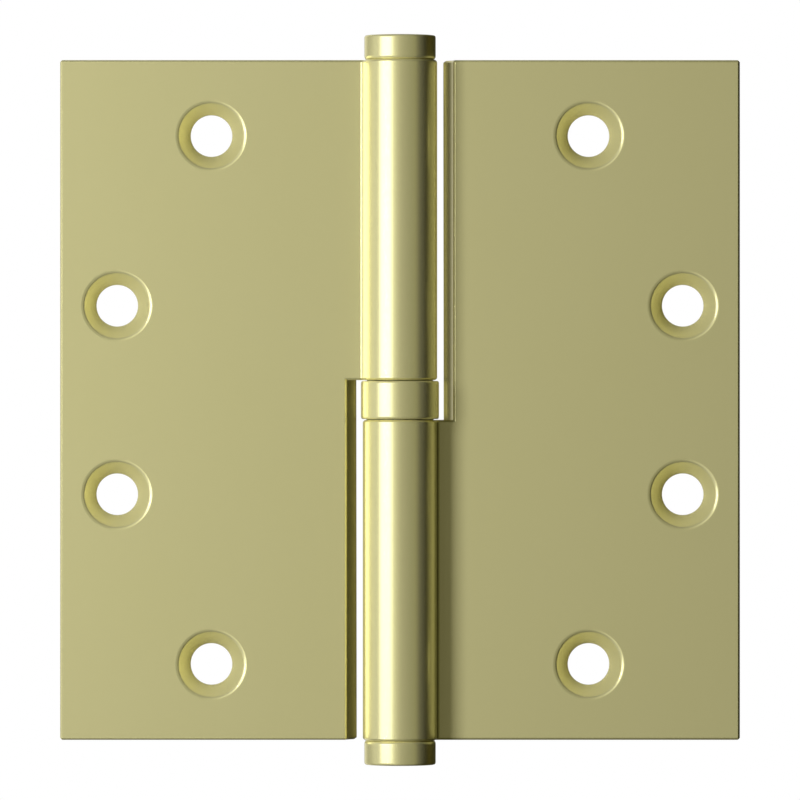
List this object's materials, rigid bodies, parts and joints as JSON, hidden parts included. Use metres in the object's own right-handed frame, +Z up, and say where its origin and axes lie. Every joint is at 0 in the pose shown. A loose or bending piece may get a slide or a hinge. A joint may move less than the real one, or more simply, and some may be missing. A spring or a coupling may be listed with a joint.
{
  "type": "lift-off hinge",
  "caption": "Square-cornered brass lift-off butt hinge laid open flat, with countersunk leaves, a fixed pin, a ball-bearing collar between the knuckles and plain button tips.",
  "frame": {"origin": "on the pin's axis, at the middle of the bearing between the knuckles", "axes": "+Z up along the pin, the way the door leaf lifts off; +X towards the frame leaf; +Y out of the leaves' flat backs, into the wood"},
  "size_m": [0.1142, 0.013, 0.1226],
  "materials": {
    "brass": "polished, lightly satin",
    "cage_brass": "stamped",
    "pin_steel": "centreless ground",
    "bearing_steel": "hardened and polished"
  },
  "bodies": {
    "frame_side": {"frame_leaf": "brass", "hinge_pin": "pin_steel", "bottom_tip": "brass", "bearing_shell": "brass", "lower_race": "bearing_steel"},
    "ball_set": {"bearing_balls": "bearing_steel", "ball_cage": "cage_brass"},
    "turning_race": {"upper_race": "bearing_steel"},
    "door_side": {"door_leaf": "brass", "top_tip": "brass"}
  },
  "joints": [
    {"name": "leaf_swing", "type": "hinge", "parent": "frame_side", "child": "turning_race", "pos_m": [0, 0, 0], "axis": [0, 0, 1], "range_deg": [-110, 180]},
    {"name": "ball_orbit", "type": "hinge", "parent": "frame_side", "child": "ball_set", "pos_m": [0, 0, 0], "axis": [0, 0, 1], "range_deg": [-55, 90]},
    {"name": "lift_off", "type": "slide", "parent": "turning_race", "child": "door_side", "axis": [0, 0, 1], "range_m": [0, 0.05]}
  ],
  "couplings": [
    {"joint": "ball_orbit", "follows": "leaf_swing", "ratio": 0.5}
  ]
}
